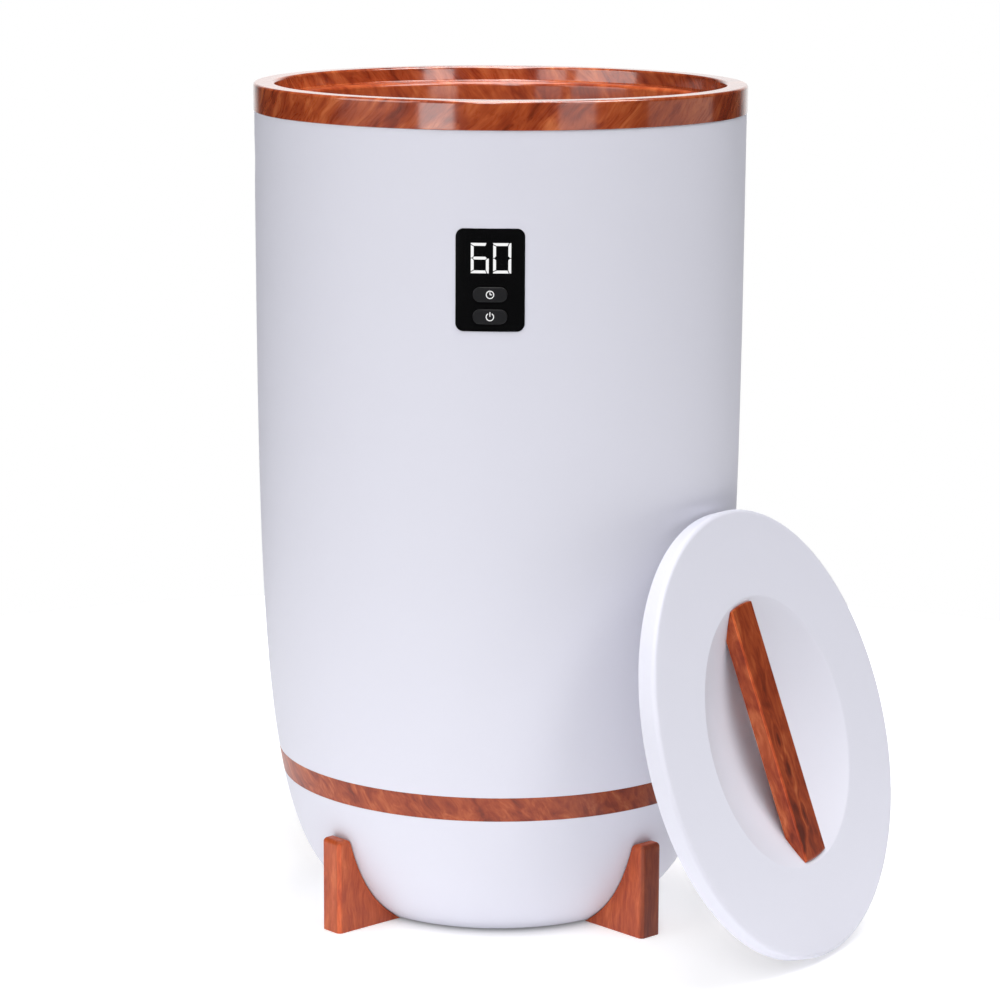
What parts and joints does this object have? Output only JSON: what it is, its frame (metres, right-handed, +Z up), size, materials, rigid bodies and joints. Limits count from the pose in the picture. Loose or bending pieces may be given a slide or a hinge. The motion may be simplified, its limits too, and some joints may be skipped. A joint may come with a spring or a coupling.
{
  "type": "towel warmer bucket",
  "caption": "Bucket towel warmer: tapered white tub on wood-look fin legs, wood-look rim and band, dark display panel with buttons, and a lift-off lid with a bar handle leaning beside it.",
  "frame": {"origin": "on the tub axis, in the plane of the floor that the feet stand on", "axes": "+Z up along the tub axis; the control panel faces -Y; the lid leans on the +X side"},
  "size_m": [0.4379, 0.4133, 0.5614],
  "materials": {
    "white_shell": "satin, off-white with a faint lavender tint",
    "wood_gloss": "reddish burl, glossy clear coat",
    "wood_satin": "reddish burl, satin",
    "wood_handle": "darker reddish grain, satin",
    "panel_black": "gloss black window",
    "button_grey": "dark grey satin",
    "lit_white": "glowing white light guide",
    "icon_white": "white print",
    "pot_aluminium": "spun, satin",
    "silicone_grey": "translucent grey silicone",
    "silicone_red": "red-brown heater silicone",
    "felt": "white fibre felt",
    "foam": "pale foam",
    "steel": "zinc plated",
    "foot_rubber": "matt black",
    "base_plastic": "fine texture, off-white",
    "inner_plastic": "black moulding",
    "circuit_board": "green solder mask",
    "wire_white": "white sleeving",
    "relay_blue": "blue housing",
    "transformer_yellow": "yellow tape over the core",
    "capacitor_can": "black sleeve",
    "terminal_green": "green terminal block"
  },
  "bodies": {
    "tub": {"base_plate": "base_plastic", "base_screws": "steel", "board_standoffs": "wire_white", "buzzer": "inner_plastic", "capacitor": "capacitor_can", "cord_gland": "inner_plastic", "display_board": "circuit_board", "display_window": "panel_black", "floor_insulation": "felt", "foot_pad_front_left": "foot_rubber", "foot_pad_front_right": "foot_rubber", "foot_pad_rear_left": "foot_rubber", "foot_pad_rear_right": "foot_rubber", "gland_nut": "inner_plastic", "heater_leads": "wire_white", "heater_mat": "silicone_red", "heating_pot": "pot_aluminium", "inner_collar": "wood_gloss", "insulation_sleeve": "felt", "led_module": "inner_plastic", "leg_front_left": "wood_satin", "leg_front_right": "wood_satin", "leg_rear_left": "wood_satin", "leg_rear_right": "wood_satin", "leg_screws": "steel", "lit_segments": "lit_white", "lower_bowl": "white_shell", "outer_shell": "white_shell", "panel_frame": "inner_plastic", "panel_ribbon": "wire_white", "panel_screws": "steel", "pot_gasket": "silicone_grey", "power_board": "circuit_board", "relay": "relay_blue", "rim_ring": "wood_gloss", "rim_screws": "steel", "sensor_leads": "wire_white", "support_posts": "steel", "support_ring": "steel", "tact_switches": "inner_plastic", "temperature_sensor": "steel", "terminal_block": "terminal_green", "thermal_fuse": "wire_white", "thermostat": "inner_plastic", "transformer": "transformer_yellow", "trim_band": "wood_satin"},
    "timer_button": {"timer_button": "button_grey", "timer_icon": "icon_white", "timer_plunger": "inner_plastic"},
    "power_button": {"power_button": "button_grey", "power_icon": "icon_white", "power_plunger": "inner_plastic"},
    "lid": {"lid_gasket": "silicone_grey", "lid_handle": "wood_handle", "lid_insulation": "foam", "lid_liner": "white_shell", "lid_top": "white_shell", "handle_screws": "steel", "liner_screws": "steel"}
  },
  "joints": [
    {"name": "timer_press", "type": "slide", "parent": "tub", "child": "timer_button", "axis": [0, 1, 0], "range_m": [0, 0.0008], "stiffness_N_per_m": 1500},
    {"name": "power_press", "type": "slide", "parent": "tub", "child": "power_button", "axis": [0, 1, 0], "range_m": [0, 0.0008], "stiffness_N_per_m": 1500},
    {"name": "lid_lift", "type": "slide", "parent": "tub", "child": "lid", "axis": [0.8282, -0.4724, 0.3015], "range_m": [0, 0.35]}
  ]
}
